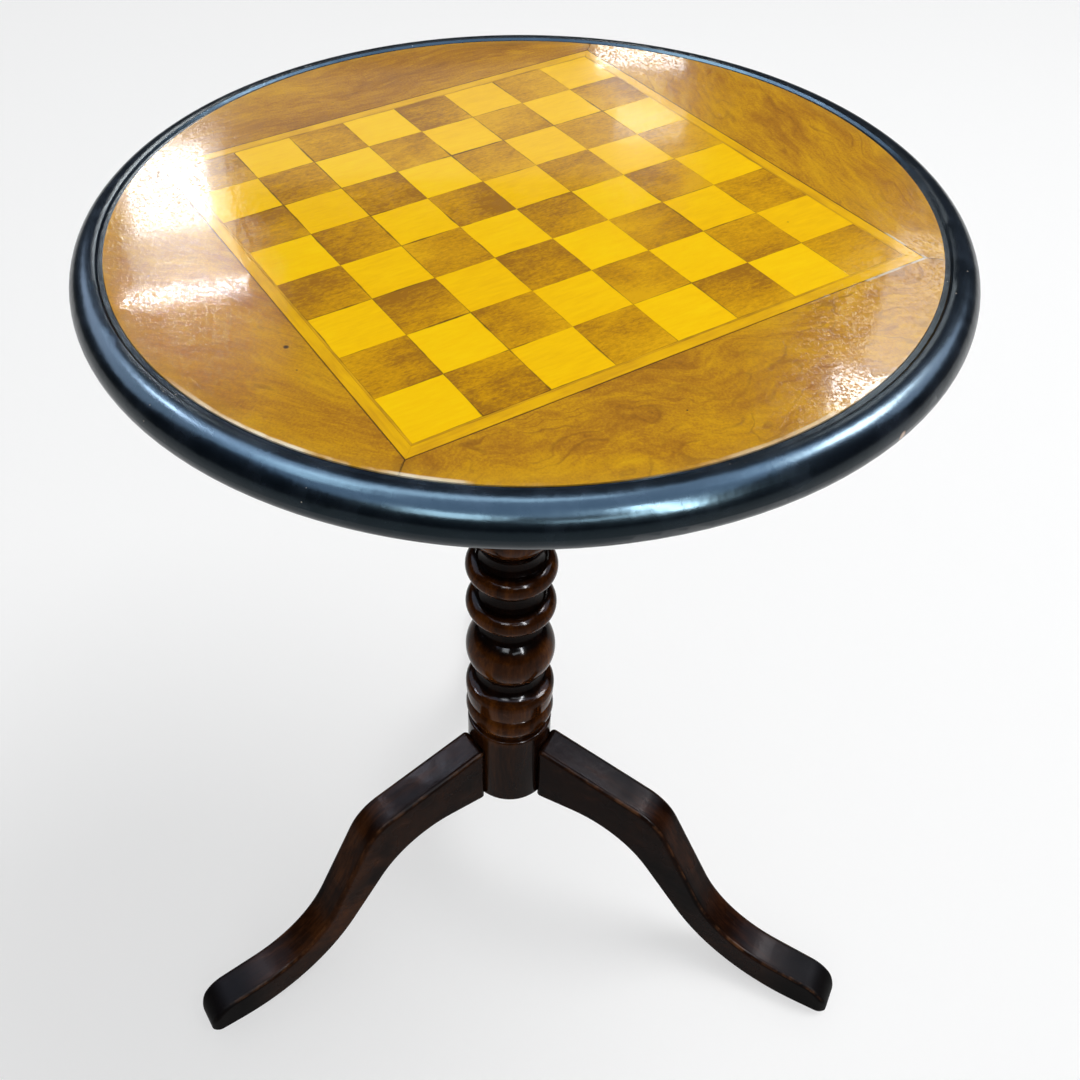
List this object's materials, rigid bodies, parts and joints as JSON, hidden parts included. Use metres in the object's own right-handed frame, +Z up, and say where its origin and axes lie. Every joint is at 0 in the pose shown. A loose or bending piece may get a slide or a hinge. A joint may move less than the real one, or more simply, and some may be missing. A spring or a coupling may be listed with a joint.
{
  "type": "tilt-top chess table",
  "caption": "Round tilt-top chess table with an inlaid board and a moulded black rim, on a turned column with three curved legs.",
  "frame": {"origin": "on the floor, on the axis of the turned column", "axes": "+Z up; +Y along the back leg to within 2 degrees, and the board is square to X and Y; the top tips about X so that its face turns to -Y"},
  "size_m": [0.5617, 0.5951, 0.7166],
  "materials": {
    "mahogany": "dark red-brown mahogany, French polished",
    "ebonised_wood": "ebonised, high gloss",
    "walnut_veneer": "figured walnut veneer, French polished",
    "light_veneer": "golden satinwood veneer, French polished",
    "dark_veneer": "olive-brown walnut veneer, French polished",
    "dark_line": "black-stained line, French polished",
    "string_veneer": "golden boxwood string, French polished",
    "ground_wood": "plain mahogany, waxed",
    "wedge_wood": "plain oak, unfinished",
    "brass": "old brass, dull",
    "steel": "old steel, dull"
  },
  "bodies": {
    "pedestal": {"column": "mahogany", "pivot_block": "ground_wood", "pivot_pins": "steel", "tenon_wedge": "wedge_wood", "keeper_plate": "brass", "keeper_screws": "brass", "leg_left": "mahogany", "leg_right": "mahogany", "leg_back": "mahogany"},
    "tabletop": {"top_core": "ground_wood", "edge_moulding": "ebonised_wood", "field_front": "walnut_veneer", "field_right": "walnut_veneer", "field_back": "walnut_veneer", "field_left": "walnut_veneer", "light_squares": "light_veneer", "dark_squares": "dark_veneer", "dark_lines": "dark_line", "border_strings": "string_veneer", "bearer_left": "ground_wood", "bearer_right": "ground_wood", "bearer_screws": "steel", "catch_case": "brass", "catch_screws": "brass", "catch_spring": "steel"},
    "catch": {"catch_bolt": "brass", "catch_knob": "brass"}
  },
  "joints": [
    {"name": "top_tilt", "type": "hinge", "parent": "pedestal", "child": "tabletop", "pos_m": [0, -0.046, 0.674], "axis": [1, 0, 0], "range_deg": [0, 90]},
    {"name": "catch_slide", "type": "slide", "parent": "tabletop", "child": "catch", "axis": [0, -1, 0], "range_m": [0, 0.008]}
  ]
}
